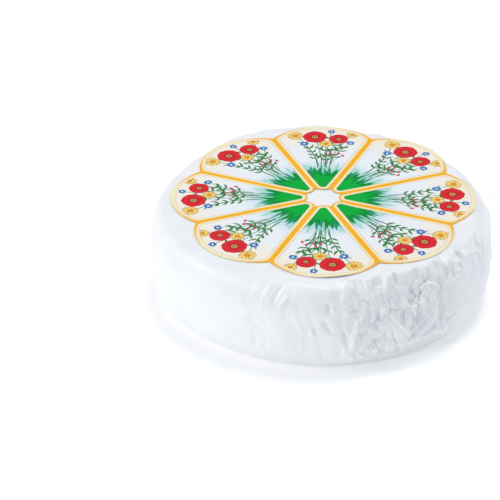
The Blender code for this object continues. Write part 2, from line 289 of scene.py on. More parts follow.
# The buds: where their stems start, along the axis and as a share of a bud's own place off it, and how far a
# bud reaches below and above its stem's end.
BUD_STEM_FOOT = (46, 0.4)
BUD_STEM_WIDTH = 0.35
BUD_TURN_DEG = 20
BUD_REACH = (0.8, 2.6)
BUD_WIDTH = 2.0
BUD_FULLEST = 0.4
BUD_BLUNT = 0.7

# The fans of blades at the tip: ink, number, reach and width, how the blades differ, and the inks of their
# veins. The shapes with these front inks lie over the plain tip too.
BLADE_FANS = (
    ("mint", 10, 46.0, 5.0),
    ("teal", 8, 41.0, 4.2),
    ("green", 9, 37.5, 5.2),
    ("emerald", 7, 31.0, 5.4),
)
BLADE_FOOT = 15.0
BLADE_SPREAD_DEG = 19
BLADE_SWAY_DEG = 1.5
BLADE_LEAN_DEG = 2
BLADE_LENGTHS = (0.9, 1.1)
BLADE_WIDTHS = (0.8, 1.2)
BLADE_FOOT_TURN = 0.6
BLADE_FULLEST = 0.45
BLADE_BEND = 0.07
BLADE_VEINS = {"mint": "teal", "teal": "leaf_light", "green": "deep_green"}
BLADE_VEIN_SHORT = 2.0
BLADE_VEIN_WIDTH = 0.18
FRONT_INKS = ("green", "emerald", "deep_green")
TIP_START = (5.0, 0.0)
TIP_END_REACH = 31
TIP_END_DEG = (-24, -12, 0, 12, 24)

# The wrap's paper: its darker and lighter tones, its range of roughness, and its noises and bumps. A noise
# has so many features a metre, a detail and a roughness. A bump has a depth, in metres, and a strength.
WRAP_TONES = ((0.86, 0.875, 0.90), (0.90, 0.905, 0.92))
WRAP_ROUGHNESS = (0.36, 0.52)
WRINKLE_STRETCH = (1, 1, 0.4)
WRAP_CLOUDS = (60, 3)
WRAP_SHEEN = (240, 4)
WRINKLES = (330, 5, 0.6, "RIDGED_MULTIFRACTAL")
WRINKLE_BUMP = (0.00022, 0.5)
WRAP_WAVES = (110, 3)
WRAP_WAVE_BUMP = (0.0010, 0.26)
FIBRES = (2600, 4, 0.65)
FIBRE_BUMP = (0.00003, 0.5)

# The labels' paper: how unevenly the print takes, its sheen, its gentle waves and its grain.
PRINT_TONES = ((0.955, 0.955, 0.955), (1.0, 1.0, 1.0))
PRINT_ROUGHNESS = (0.5, 0.62)
PRINT_SPECULAR = 0.08
PRINT_PATCHES = (1500, 3)
PRINT_SHEEN = (400, 3)
PRINT_WAVES = (55, 1)
PRINT_WAVE_BUMP = (0.0012, 0.12)
PRINT_GRAIN = (4200, 3, 0.6)
PRINT_GRAIN_BUMP = (0.00002, 0.4)

# The middle range of a noise, which is stretched to the range that a material needs.
NOISE_RANGE = (0.3, 0.7)

# Edges sharper than these stay sharp.
WRAP_SHARP_DEG = 50
LABEL_SHARP_DEG = 40

# The camera, from the wheel's outline in the photograph.
CAMERA_TILT_DEG = 30.878
CAMERA_ROLL = 0.0068
CAMERA_DISTANCE = 12.2044 * WHEEL_RADIUS
CAMERA_ASIDE = (0.414 * WHEEL_RADIUS, -0.174 * WHEEL_RADIUS)
CAMERA_LENS_MM = 148.19
SENSOR_MM = 36
CAMERA_CLIP = (0.05, 50)

# The studio: each lamp's name, place, size, power and colour, what all of them aim at, the sky and the floor.
LAMPS = (
    ("overhead", (0.3, 0.45, 2.2), 0.9, 20, (1.0, 0.98, 0.94)),
    ("left", (-1.9, -0.34, 1.0), 0.6, 10, (1.0, 0.975, 0.93)),
    ("front left", (-1.46, -1.24, 1.0), 0.4, 8.4, (1.0, 0.975, 0.93)),
    ("right", (1.8, 0.9, 0.7), 0.4, 8, (0.95, 0.98, 1.0)),
)
LAMP_AIM = (0, 0, 0.03)
SKY_COLOUR = (0.83, 0.90, 1.0)
SKY_STRENGTH = 0.45
FLOOR_HALF = 4
FLOOR_COLOUR = (0.86, 0.86, 0.86)
FLOOR_ROUGHNESS = 0.9
FLOOR_GLOW = 0.24


def outline_radius(angle):
    """The wheel's radius at its widest level, at these angles from +X."""
    radius = WHEEL_RADIUS + 0 * angle
    for lobes, (cosine, sine) in OUTLINE_SWAY.items():
        radius = radius + cosine * np.cos(lobes * angle) + sine * np.sin(lobes * angle)
    return radius


def outline_middle():
    """The middle of the outline's box, which the whole part is moved back by."""
    angle = np.linspace(0, 2 * math.pi, OUTLINE_STEPS, endpoint=False)
    x = outline_radius(angle) * np.cos(angle)
    y = outline_radius(angle) * np.sin(angle)
    return (x.max() + x.min()) / 2, (y.max() + y.min()) / 2


def side_profile():
    """The section from the base's edge up the side and in over the top's rim.

    Returns the length along it, the inset from the outline, the height and the outward normal.
    """
    turn = np.linspace(0, math.pi / 2, PROFILE_STEPS)
    foot_inset = FOOT_WIDTH * (1 - np.sin(turn))
    foot_height = FOOT_RISE * (1 - np.cos(turn))
    shoulder_inset = SHOULDER_WIDTH * (1 - np.cos(turn))
    shoulder_height = WHEEL_HEIGHT - SHOULDER_DROP * (1 - np.sin(turn))
    inset = np.concatenate([foot_inset, shoulder_inset, [SHOULDER_WIDTH + RIM_WIDTH]])
    height = np.concatenate([foot_height, shoulder_height, [WHEEL_HEIGHT]])
    length = np.concatenate([[0], np.cumsum(np.hypot(np.diff(inset), np.diff(height)))])
    normal_out = np.gradient(height)
    normal_up = np.gradient(inset)
    size = np.hypot(normal_out, normal_up)
    return length, inset, height, normal_out / size, normal_up / size


PROFILE = side_profile()
MIDDLE = outline_middle()
SIDE_LENGTH = PROFILE[0][-1]


def wheel_points(around, up, lift):
    """Points on the wheel, lifted off its smooth form, from lengths round it and up its side."""
    length, inset, height, normal_out, normal_up = PROFILE
    angle = around / WHEEL_RADIUS
    radius = outline_radius(angle) - np.interp(up, length, inset) + lift * np.interp(up, length, normal_out)
    level = np.interp(up, length, height) + lift * np.interp(up, length, normal_up)
    return np.stack([radius * np.cos(angle) - MIDDLE[0], radius * np.sin(angle) - MIDDLE[1], level], -1)


def up_the_side(height):
    """The length up the side at which it reaches this height."""
    length, _, level, _, _ = PROFILE
    return float(np.interp(height, level[:-1], length[:-1]))


def crumple_strength(around):
    """How crumpled the wrap is at these lengths round the wheel, from 0 to 1."""
    strength = LEAST_CRUMPLED + 0 * around
    for azimuth, spread, most in CRUMPLED_DEG:
        off = (np.degrees(around / WHEEL_RADIUS) - azimuth + 180) % 360 - 180
        strength = np.maximum(strength, most * np.exp(-((off / spread) ** CRUMPLED_BELL)))
    return strength


def shaken_places(rng, round_step, up_step):
    """Places over the unrolled side, in rows like bricks, shaken out of line. The end rows stay level."""
    columns = round(GIRTH / round_step)
    rows = round(SIDE_LENGTH / up_step)
    places = []
    for row in range(rows + 1):
        shake = 0 if row in (0, rows) else FACET_SHAKE
        for column in range(columns):
            around = (column + row % 2 / 2 + rng.uniform(-FACET_SHAKE, FACET_SHAKE)) / columns * GIRTH
            places.append((around % GIRTH, (row + rng.uniform(-shake, shake)) / rows * SIDE_LENGTH))
    return places


def facet_places(rng):
    """The corners of the wrap's large facets, in rows round the side, and how far each is lifted."""
    columns = round(GIRTH / FACET_STEP)
    places = []
    lifts = []
    for number, (up, shake, lift) in enumerate(FACET_ROWS):
        for column in range(columns):
            around = (column + number % 2 / 2 + rng.uniform(-FACET_SHAKE, FACET_SHAKE)) / columns * GIRTH
            places.append((around % GIRTH, min(up + rng.uniform(-shake, shake), SIDE_LENGTH)))
            lifts.append(lift + rng.uniform(-FACET_LIFT, FACET_LIFT))
    return places, np.array(lifts)


def facet_field(places, values, around, up):
    """Values over a grid of lengths round and up the side, by flat facets between the given places."""
    turned = [(s + turn * GIRTH, t, i) for turn in (-1, 0, 1) for i, (s, t) in enumerate(places)]
    spread = [(s, t, i) for s, t, i in turned if -SEAM_LAP < s < GIRTH + SEAM_LAP]
    flat = [Vector((s, t)) for s, t, _ in spread]
    corners, _, triangles, sources, _, _ = delaunay_2d_cdt(flat, [], [], 0, SAME_PLACE)
    field = np.zeros((len(up), len(around), values.shape[1]))
    for triangle in triangles:
        (ax, ay), (bx, by), (cx, cy) = (corners[i] for i in triangle)
        area = (bx - ax) * (cy - ay) - (cx - ax) * (by - ay)
        if abs(area) < NO_AREA:
            continue
        first, last = np.searchsorted(around, (min(ax, bx, cx), max(ax, bx, cx)))
        low, high = np.searchsorted(up, (min(ay, by, cy) - SAME_PLACE, max(ay, by, cy) + SAME_PLACE))
        s, t = np.meshgrid(around[first:last], up[low:high])
        share_b = ((s - ax) * (cy - ay) - (cx - ax) * (t - ay)) / area
        share_c = ((bx - ax) * (t - ay) - (s - ax) * (by - ay)) / area
        share_a = 1 - share_b - share_c
        inside = np.minimum(np.minimum(share_a, share_b), share_c) > -EDGE_SLACK
        a, b, c = (values[spread[sources[i][0]][2]] for i in triangle)
        shares = np.stack([share_a, share_b, share_c], -1)[inside]
        field[low:high, first:last][inside] = shares @ np.stack([a, b, c])
    return field


def path_relief(around, up, path, depth, steep, shallow):
    """The relief of a ridge or valley along a bent line, steep on the left, shallow on the right."""
    nearest = np.full(around.shape, np.inf)
    share = np.zeros(around.shape)
    left = np.zeros(around.shape, bool)
    total = sum(math.dist(a, b) for a, b in zip(path, path[1:]))
    run = 0
    for (start_s, start_t), (end_s, end_t) in zip(path, path[1:]):
        length = math.dist((start_s, start_t), (end_s, end_t))
        way_s, way_t = (end_s - start_s) / length, (end_t - start_t) / length
        off_s = (around - start_s + GIRTH / 2) % GIRTH - GIRTH / 2
        off_t = up - start_t
        along = np.clip(off_s * way_s + off_t * way_t, 0, length)
        distance = np.hypot(off_s - along * way_s, off_t - along * way_t)
        closer = distance < nearest
        nearest = np.where(closer, distance, nearest)
        share = np.where(closer, (run + along) / total, share)
        left = np.where(closer, way_s * off_t > way_t * off_s, left)
        run += length
    fall = np.clip(1 - nearest / np.where(left, steep, shallow), 0, 1)
    return depth * np.sin(math.pi * share) ** CREASE_ENDS * fall


def main_creases():
    """The main creases, as lengths round the wheel and up its side, with depth and reaches in metres."""
    creases = []
    for path, *sizes in MAIN_CREASES:
        points = [(math.radians(turn) * WHEEL_RADIUS, up_the_side(height * MM)) for turn, height in path]
        creases.append((points, *(size * MM for size in sizes)))
    return creases


def small_creases():
    """Groups of two to four bent creases that meet, most of them near upright, where the wrap is crumpled."""
    rng = random.Random(CREASE_SEED)
    creases = []
    while len(creases) < CREASE_COUNT:
        around = rng.uniform(0, GIRTH)
        up = rng.uniform(*CREASE_STARTS) * SIDE_LENGTH
        strength = float(crumple_strength(np.array(around)))
        if rng.random() > strength:
            continue
        for arm in range(rng.choice(CREASE_ARMS)):
            heading = math.radians(rng.gauss(90 if arm % 2 else -90, CREASE_LEAN_DEG))
            path = [(around, up)]
            for _ in range(CREASE_BENDS):
                step = rng.uniform(*CREASE_LENGTH_MM) / CREASE_BENDS * MM
                path.append((path[-1][0] + step * math.cos(heading), path[-1][1] + step * math.sin(heading)))
                heading += math.radians(rng.gauss(0, CREASE_BEND_DEG))
            depth = rng.uniform(*CREASE_DEPTH_MM) * MM * rng.choice(CREASE_SIGNS)
            depth *= LEAST_DEPTH + (1 - LEAST_DEPTH) * strength
            sides = rng.uniform(*CREASE_STEEP_MM) * MM, rng.uniform(*CREASE_SHALLOW_MM) * MM
            creases.append((path, depth, *sides))
    return creases


def column_places():
    """The lengths round the wheel at which the mesh's columns stand."""
    fine = np.linspace(0, GIRTH, COLUMN_STEPS)
    dense = LEAST_DENSE + crumple_strength(fine)
    count = np.concatenate([[0], np.cumsum((dense[1:] + dense[:-1]) / 2)])
    return np.interp(np.arange(COLUMNS) / COLUMNS * count[-1], count, fine)


def break_edge(points):
    """Cuts the rounded shoulder back to the top's broken edge."""
    x, y = points[..., 0] + MIDDLE[0], points[..., 1] + MIDDLE[1]
    azimuth, radius = np.degrees(np.arctan2(y, x)), np.hypot(x, y)
    plain = BREAK_FALL * (radius - np.interp(azimuth, *zip(*PLAIN_EDGE)))
    ragged = BREAK_FALL * (radius - np.interp(azimuth, *zip(*RAGGED_EDGE)))
    share = np.clip(plain / RAGGED_DROP, 0, 1)
    drop = np.maximum(ragged + share * (plain - ragged), 0)
    points[..., 2] = np.minimum(points[..., 2], WHEEL_HEIGHT - drop)


def add_crease(relief, grid_s, grid_t, hold, crease):
    """Adds one crease to the relief, over the columns that it reaches."""
    path, _, steep, shallow = crease
    middle = sum(s for s, _ in path) / len(path)
    reach = max(abs(s - middle) for s, _ in path) + max(steep, shallow)
    near = abs((grid_s[0] - middle + GIRTH / 2) % GIRTH - GIRTH / 2) < reach
    relief[:, near] += path_relief(grid_s[:, near], grid_t[:, near], *crease) * hold[:, near]


def wrap_surface():
    """The wrap's points, in rows from the base's edge up the side and in under the labels."""
    around = column_places()
    up = np.linspace(0, SIDE_LENGTH, ROWS)
    grid_s, grid_t = np.meshgrid(around, up)
    smooth = wheel_points(grid_s, grid_t, 0 * grid_s)
    hold = np.interp(grid_t, FOOT_LENGTHS, FOOT_SHARES) * np.clip((SIDE_LENGTH - grid_t) / TOP_LENGTH, 0, 1)
    strength = crumple_strength(grid_s) * hold

    rng = random.Random(FACET_SEED)
    places, lifts = facet_places(rng)
    place_s, place_t = np.array(places).T
    corners = wheel_points(place_s, place_t, lifts)
    faceted = facet_field(places, corners, around, up)
    points = smooth + (faceted - smooth) * strength[..., None]
    break_edge(points)

    relief = 0 * grid_s
    for round_step, up_step, most in SMALL_FACETS:
        places = shaken_places(rng, round_step, up_step)
        lifts = np.array([[rng.uniform(-most, most)] for _ in places])
        relief += facet_field(places, lifts, around, up)[..., 0] * strength
    for crease in small_creases():
        add_crease(relief, grid_s, grid_t, hold, crease)
    for crease in main_creases():
        add_crease(relief, grid_s, grid_t, 1 + 0 * hold, crease)
    points += wheel_points(grid_s, grid_t, relief) - smooth
    radius = np.hypot(points[..., 0] + MIDDLE[0], points[..., 1] + MIDDLE[1])
    roof = WHEEL_HEIGHT + np.interp(radius, PUFF_RADII, (0, RIM_PUFF))
    points[..., 2] = np.clip(points[..., 2], 0, roof)
    return points, strength


def build_wrap(material):
    """The wrapped wheel, in place of its plain solid."""
    points, strength = wrap_surface()
    rows, columns, _ = points.shape
    points[-LEVEL_ROWS:, :, 2] = WHEEL_HEIGHT
    faces = []
    for row in range(rows - 1):
        for column in range(columns):
            after = (column + 1) % columns
            start = row * columns
            faces.append((start + column, start + after, start + columns + after, start + columns + column))
    faces.append([(rows - 1) * columns + column for column in range(columns)])
    faces.append([column for column in reversed(range(columns))])
    data = bpy.data.meshes.new("wrap")
    data.from_pydata(points.reshape(-1, 3).tolist(), [], faces)
    data.materials.append(material)
    crumple = data.attributes.new("crumple", "FLOAT", "POINT")
    crumple.data.foreach_set("value", strength.astype(np.float32).ravel())
    data.shade_smooth()
    data.set_sharp_from_angle(angle=math.radians(WRAP_SHARP_DEG))
    wrap = bpy.data.objects.new("wrap", data)
    bpy.context.scene.collection.objects.link(wrap)
    return wrap


def spoke_point(reach, sign):
    """A point on a label's side, its distance along the spoke from the ring's centre. Metres."""
    half_angle = math.pi / LABEL_COUNT
    trim = FIT_GAP / 2 / math.sin(half_angle)
    return trim + reach * math.cos(half_angle), sign * reach * math.sin(half_angle)


def arc_through(start, middle, end):
    """The centre and radius of the circle through three points."""
    (ax, ay), (bx, by), (cx, cy) = start, middle, end
    twice_area = 2 * (ax * (by - cy) + bx * (cy - ay) + cx * (ay - by))
    squares = ax * ax + ay * ay, bx * bx + by * by, cx * cx + cy * cy
    centre_x = (squares[0] * (by - cy) + squares[1] * (cy - ay) + squares[2] * (ay - by)) / twice_area
    centre_y = (squares[0] * (cx - bx) + squares[1] * (ax - cx) + squares[2] * (bx - ax)) / twice_area
    return (centre_x, centre_y), math.hypot(ax - centre_x, ay - centre_y)


def outer_arc():
    """The centre and radius of a label's outer edge."""
    return arc_through(spoke_point(NOTCH_REACH, -1), (LABEL_REACH, 0), spoke_point(NOTCH_REACH, 1))


def arc_points(centre, radius, first_deg, last_deg, steps):
    """Points along an arc, turning the way its end angles say."""
    turns = np.radians(np.linspace(first_deg, last_deg, steps + 1))
    return [(centre[0] + radius * math.cos(turn), centre[1] + radius * math.sin(turn)) for turn in turns]


def cut_outline():
    """A label's cut outline, counter-clockwise from its tip's upper corner."""
    outline = []
    tip_middle = TIP_REACH + spoke_point(0, 0)[0], 0
    tip = spoke_point(TIP_CORNER_REACH, 1), tip_middle, spoke_point(TIP_CORNER_REACH, -1)
    outer = spoke_point(NOTCH_REACH, -1), (LABEL_REACH, 0), spoke_point(NOTCH_REACH, 1)
    for (start, middle, end), facing in ((tip, 180), (outer, 0)):
        centre, radius = arc_through(start, middle, end)
        spread = math.degrees(math.asin(abs(start[1]) / radius))
        outline += arc_points(centre, radius, facing - spread, facing + spread, ARC_STEPS)
    return outline


def inner_outline(side_inset, tip_reach, corner_radius):
    """A line that follows a label's edge inside it, with its own rounded corners."""
    half_angle = math.pi / LABEL_COUNT
    lean = math.sin(half_angle)
    inset = side_inset + FIT_GAP / 2
    tip_radius = (tip_reach * lean - inset) / (1 - lean)
    centre, radius = outer_arc()
    # A corner's centre lies on a line beside the spoke and on a circle inside the outer arc.
    corner_circle = radius - side_inset - corner_radius
    offset = (inset + corner_radius) / lean
    along_x, along_y = math.cos(half_angle), math.sin(half_angle)
    to_x, to_y = offset - centre[0], -centre[1]
    half_way = to_x * along_x + to_y * along_y
    step = -half_way + math.sqrt(half_way ** 2 - (to_x ** 2 + to_y ** 2 - corner_circle ** 2))
    corner = offset + step * along_x, step * along_y
    facing = math.degrees(math.atan2(corner[1] - centre[1], corner[0] - centre[0]))
    upper = 90 + math.degrees(half_angle)
    tip = arc_points((tip_reach + tip_radius, 0), tip_radius, upper, 360 - upper, ARC_STEPS)
    low_corner = arc_points((corner[0], -corner[1]), corner_radius, -upper, -facing, CORNER_STEPS)
    outer = arc_points(centre, radius - side_inset, -facing, facing, ARC_STEPS)
    high_corner = arc_points(corner, corner_radius, facing, upper, CORNER_STEPS)
    return tip + low_corner + outer[1:-1] + high_corner


def linear(ink):
    """A print colour as linear light, by the standard curve of screens."""
    share = np.array(INKS[ink]) / 255
    return np.where(share <= 0.04045, share / 12.92, ((share + 0.055) / 1.055) ** 2.4)


def blend_inks(stops, place):
    """A colour between stops, each a place and an ink."""
    places = [stop for stop, _ in stops]
    colours = np.array([linear(ink) for _, ink in stops])
    return np.array([np.interp(place, places, colours[:, channel]) for channel in range(3)])


def band_ink(x, y):
    """The border band is orange along the sides and pales along the middle of the outer edge."""
    (centre_x, _), _ = outer_arc()
    turn = abs(math.degrees(math.atan2(y, x - centre_x / MM)))
    return blend_inks(BAND_STOPS, turn if x > BAND_SIDES_END else BAND_SIDE_DEG)


def panel_ink(x, y):
    """The panel is beige by the outer edge, then pale lavender, with a pale blue wash towards the tip."""
    return blend_inks(PANEL_STOPS, math.hypot(x, y))


def tip_ink(x, y):
    return blend_inks(TIP_STOPS, math.hypot(x, y))


def poppy_ink(centre, reach):
    """A poppy's petals, deep red at the heart and bright at the rim."""
    return lambda x, y: blend_inks(POPPY_STOPS, math.dist((x, y), centre) / reach)


def leaf_shape(base, tip, width, fullest, blunt, bend=0.0):
    """A leaf or petal, counter-clockwise. Fullest says where along it, blunt below 1 rounds its ends."""
    base, tip = np.array(base, float), np.array(tip, float)
    along = tip - base
    side = np.array([-along[1], along[0]])
    share = np.linspace(0, 1, LEAF_STEPS + 1)[:, None]
    middle = base + share * along + bend * np.sin(math.pi * share) * side
    swell = np.sin(math.pi * share ** (math.log(0.5) / math.log(fullest))) ** blunt
    half = width / 2 / np.linalg.norm(along) * swell
    return [*(middle - half * side)[:-1], *(middle + half * side)[:0:-1]]


def disc_shape(centre, radius, steps=DISC_STEPS):
    return arc_points(centre, radius, 0, 360, steps)[:-1]


def polar(centre, reach, turn_deg):
    turn = math.radians(turn_deg)
    return centre[0] + reach * math.cos(turn), centre[1] + reach * math.sin(turn)


def stem_shape(start, end, width, bend):
    """A thin bent line of even width."""
    start, end = np.array(start, float), np.array(end, float)
    share = np.linspace(0, 1, STEM_STEPS)[:, None]
    along = end - start
    side = np.array([-along[1], along[0]])
    middle = start + share * along + bend * np.sin(math.pi * share) * side
    off = width / 2 * side / np.linalg.norm(side)
    return [*(middle - off), *(middle + off)[::-1]]


def flower_shapes(centre, reach, petals, inks, form, rng):
    """Petals round a centre, each with its own edge in the first ink."""
    edge, fill = inks
    fullest, blunt, plump = form
    shapes = []
    first = rng.uniform(0, 360)
    width = plump * 2 * math.pi * reach / petals
    for number in rng.sample(range(petals), petals):
        turn = first + 360 * number / petals + rng.uniform(-PETAL_SWAY_DEG, PETAL_SWAY_DEG)
        length = reach * rng.uniform(*PETAL_LENGTHS)
        outer = polar(centre, length + PETAL_EDGE, turn)
        inner = polar(centre, length, turn)
        shapes.append((edge, leaf_shape(centre, outer, width + 2 * PETAL_EDGE, fullest, blunt)))
        shapes.append((fill, leaf_shape(centre, inner, width, fullest, blunt)))
    return shapes


def poppy_shapes(x, y, reach, petals, rng):
    centre = x, y
    inks = "deep_red", poppy_ink(centre, reach)
    shapes = flower_shapes(centre, reach, petals, inks, POPPY_PETAL, rng)
    shapes.append(("brown", disc_shape(centre, POPPY_HEART * reach)))
    for turn in range(0, 360, POPPY_SPECK_DEG):
        speck = polar(centre, POPPY_RING * reach, turn)
        shapes.append(("yellow", disc_shape(speck, POPPY_SPECK * reach, SPECK_STEPS)))
    shapes.append(("leaf_light", disc_shape(centre, POPPY_EYE * reach, SMALL_DISC_STEPS)))
    return shapes


def daisy_shapes(x, y, reach, petals, rng):
    centre = x, y
    shapes = flower_shapes(centre, reach, petals, ("brown", "yellow"), DAISY_PETAL, rng)
    shapes.append(("brown", disc_shape(centre, DAISY_RIM * reach)))
    shapes.append(("amber", disc_shape(centre, DAISY_HEART * reach)))
    return shapes


def cornflower_shapes(x, y, reach, petals, rng):
    centre = x, y
    shapes = flower_shapes(centre, reach, petals, ("white", "blue"), CORNFLOWER_PETAL, rng)
    shapes.append(("white", disc_shape(centre, CORNFLOWER_HEART * reach, SMALL_DISC_STEPS)))
    return shapes


def stem_and_leaves(head, rng):
    """A bent stem up to a flower head, with a few pairs of small leaves."""
    foot = STEM_FOOT[0], STEM_FOOT[1] + FOOT_SHIFT * head[1]
    bend = STEM_BEND * head[1] + rng.uniform(-STEM_SWAY, STEM_SWAY)
    shapes = [("leaf", stem_shape(foot, head, STEM_WIDTH, bend))]
    along = np.array(head) - foot
    side = np.array([-along[1], along[0]])
    lean = math.degrees(math.atan2(along[1], along[0]))
    for share in LEAF_PLACES:
        share += rng.uniform(-LEAF_SHIFT, LEAF_SHIFT)
        node = foot + share * along + bend * math.sin(math.pi * share) * side
        for hand in (-1, 1):
            turn = lean + hand * rng.uniform(*LEAF_LEAN_DEG)
            reach = rng.uniform(*LEAF_LENGTHS)
            width = rng.uniform(*LEAF_WIDTHS)
            tip = polar(node, reach, turn)
            shapes.append(("leaf", leaf_shape(node, tip, width, LEAF_FULLEST, LEAF_BLUNT, hand * LEAF_BEND)))
            vein = polar(node, VEIN_REACH * reach, turn)
            shapes.append(("leaf_light", stem_shape(node, vein, VEIN_WIDTH, hand * LEAF_BEND)))
    return shapes


def blade_shapes(rng):
    """The fans of pointed blades at a label's tip, the palest and longest at the back."""
    shapes = []
    for ink, count, reach, width in BLADE_FANS:
        for number in range(count):
            turn = (2 * (number + 0.5) / count - 1) * BLADE_SPREAD_DEG
            turn += rng.uniform(-BLADE_SWAY_DEG, BLADE_SWAY_DEG)
            length = reach * rng.uniform(*BLADE_LENGTHS)
            tip = polar((0, 0), length, turn + rng.uniform(-BLADE_LEAN_DEG, BLADE_LEAN_DEG))
            foot = polar((0, 0), BLADE_FOOT, BLADE_FOOT_TURN * turn)
            wide = width * rng.uniform(*BLADE_WIDTHS)
            bend = rng.uniform(-BLADE_BEND, BLADE_BEND)
            shapes.append((ink, leaf_shape(foot, tip, wide, BLADE_FULLEST, 1.0, bend)))
            if ink in BLADE_VEINS:
                vein_tip = polar(tip, BLADE_VEIN_SHORT, turn + 180)
                shapes.append((BLADE_VEINS[ink], stem_shape(foot, vein_tip, BLADE_VEIN_WIDTH, 0.0)))
    return shapes


def print_shapes():
    """The print inside a label's panel, from the back to the front."""
    rng = random.Random(PRINT_SEED)
    shapes = []
    for x, y, _, _ in (*POPPIES, *DAISIES, *CORNFLOWERS):
        shapes += stem_and_leaves((x, y), rng)
    for bud in BUDS:
        foot = BUD_STEM_FOOT[0], BUD_STEM_FOOT[1] * bud[1]
        shapes.append(("leaf", stem_shape(foot, bud, BUD_STEM_WIDTH, LEAF_BEND)))
        start = polar(bud, BUD_REACH[0], BUD_TURN_DEG + 180)
        end = polar(bud, BUD_REACH[1], BUD_TURN_DEG)
        shapes.append(("pink", leaf_shape(start, end, BUD_WIDTH, BUD_FULLEST, BUD_BLUNT)))
    fans = blade_shapes(rng)
    shapes += fans
    shapes.append((tip_ink, [TIP_START, *(polar((0, 0), TIP_END_REACH, turn) for turn in TIP_END_DEG)]))
    shapes += [shape for shape in fans if shape[0] in FRONT_INKS]
    for make, places in ((cornflower_shapes, CORNFLOWERS), (daisy_shapes, DAISIES), (poppy_shapes, POPPIES)):
        for place in places:
            shapes += make(*place, rng)
    return shapes


def label_layout():
    """A label's face cut along its print: corners in millimetres, triangles, and colours at their corners."""
    border = (
        (band_ink, cut_outline()),
        ("cream", inner_outline(*BAND_LINE)),
        ("tan", inner_outline(*CREAM_LINE)),
        (panel_ink, inner_outline(*PANEL_LINE)),
    )
    shapes = [(ink, [(x / MM, y / MM) for x, y in line]) for ink, line in border]
    panel = len(shapes) - 1
    shapes += print_shapes()
    corners = []
    faces = []
    for _, outline in shapes:
        faces.append(list(range(len(corners), len(corners) + len(outline))))
        corners += [Vector((float(x), float(y))) for x, y in outline]
    across = np.arange(*LATTICE_ACROSS, LATTICE_STEP)
    corners += [Vector((x, y)) for x in np.arange(*LATTICE_ALONG, LATTICE_STEP) for y in across]
    corners, _, triangles, _, _, sources = delaunay_2d_cdt(corners, [], faces, 0, SAME_CORNER)
    kept = []
    colours = []
    for triangle, inside in zip(triangles, sources):
        if 0 not in inside:
            continue
        top = max(source for source in inside if source <= panel or panel in inside)
        ink = shapes[top][0]
        kept.append(triangle)
        colours.append([ink(*corners[i]) if callable(ink) else linear(ink) for i in triangle])
    return np.array([corner[:] for corner in corners]), kept, colours


def sheet_height(x, y, number):
    """How high a label's face lies at these places on it, in metres: gently uneven, with one loose edge."""
    rng = random.Random(number)
    height = SHEET_HEIGHT + 0 * x
    for _ in range(SHEET_WAVES):
        turn, phase = rng.uniform(0, math.pi), rng.uniform(0, 2 * math.pi)
        run = (x * math.cos(turn) + y * math.sin(turn)) / rng.uniform(*SHEET_WAVE_LENGTHS)
        height += SHEET_UNEVEN / 2 * np.sin(2 * math.pi * run + phase)
    if number == LOOSE_LABEL:
        off_x, off_y = (x - LOOSE_PLACE[0]) / LOOSE_REACH[0], (y - LOOSE_PLACE[1]) / LOOSE_REACH[1]
        height += LOOSE_HEIGHT * np.exp(-(off_x ** 2 + off_y ** 2))
    return height


def rim_loop(triangles):
    """The corners round the triangles' open edge, in order."""
    edges = {(t[i], t[(i + 1) % 3]) for t in triangles for i in range(3)}
    after = {start: end for start, end in edges if (end, start) not in edges}
    start = min(after)
    loop = [start]
    while after[loop[-1]] != start:
        loop.append(after[loop[-1]])
    return loop


def build_label(number, layout, material):
    """One printed label: its face with the print, its cut edge and its plain back."""
    flat, triangles, colours = layout
    used = sorted({corner for triangle in triangles for corner in triangle})
    place = {corner: i for i, corner in enumerate(used)}
    faces = [tuple(place[corner] for corner in triangle) for triangle in triangles]
    x, y = (flat[used] * MM).T
    level = sheet_height(x, y, number)
    rim = rim_loop(faces)
    turn = math.radians(RING_TURN_DEG) + number * 2 * math.pi / LABEL_COUNT
    world_x = RING_CENTRE[0] + x * math.cos(turn) - y * math.sin(turn)
    world_y = RING_CENTRE[1] + x * math.sin(turn) + y * math.cos(turn)
    points = np.stack([world_x, world_y, WHEEL_HEIGHT + level], -1)
    under = points - (0, 0, SHEET_THICKNESS)
    first = len(points)
    walls = [(a, first + a, first + b, b) for a, b in zip(rim, rim[1:] + rim[:1])]
    back = [tuple(first + corner for corner in reversed(face)) for face in faces]
    data = bpy.data.meshes.new(f"printed_label_{number + 1}")
    data.from_pydata([*points.tolist(), *under.tolist()], [], [*faces, *walls, *back])
    ink = data.color_attributes.new("ink", "FLOAT_COLOR", "CORNER")
    values = [(*colour, 1) for face in colours for colour in face]
    # The cut edges are tan as painted shade: a thin dark line along the labels' edges and the seams between
    # them.
    values += [(*linear("tan"), 1)] * (4 * len(walls))
    values += [(*linear("white"), 1)] * (3 * len(back))
    ink.data.foreach_set("color", np.array(values, np.float32).ravel())
    data.materials.append(material)
    data.shade_smooth()
    data.set_sharp_from_angle(angle=math.radians(LABEL_SHARP_DEG))
    label = bpy.data.objects.new(f"printed_label_{number + 1}", data)
    bpy.context.scene.collection.objects.link(label)
    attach(label, "root")
    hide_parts(f"label_{number + 1}")


def new_material(name):
    material = bpy.data.materials.new(name)
    material.use_nodes = True
    return material, material.node_tree.nodes, material.node_tree.links


def noise(nodes, links, place, scale, detail, roughness=0.5, kind="FBM"):
    """Noise over a place. Its features are about one over the scale, in metres."""
    node = nodes.new("ShaderNodeTexNoise")
    node.noise_type = kind
    node.inputs["Scale"].default_value = scale
    node.inputs["Detail"].default_value = detail
    node.inputs["Roughness"].default_value = roughness
    links.new(place, node.inputs["Vector"])
    return node.outputs["Fac"]


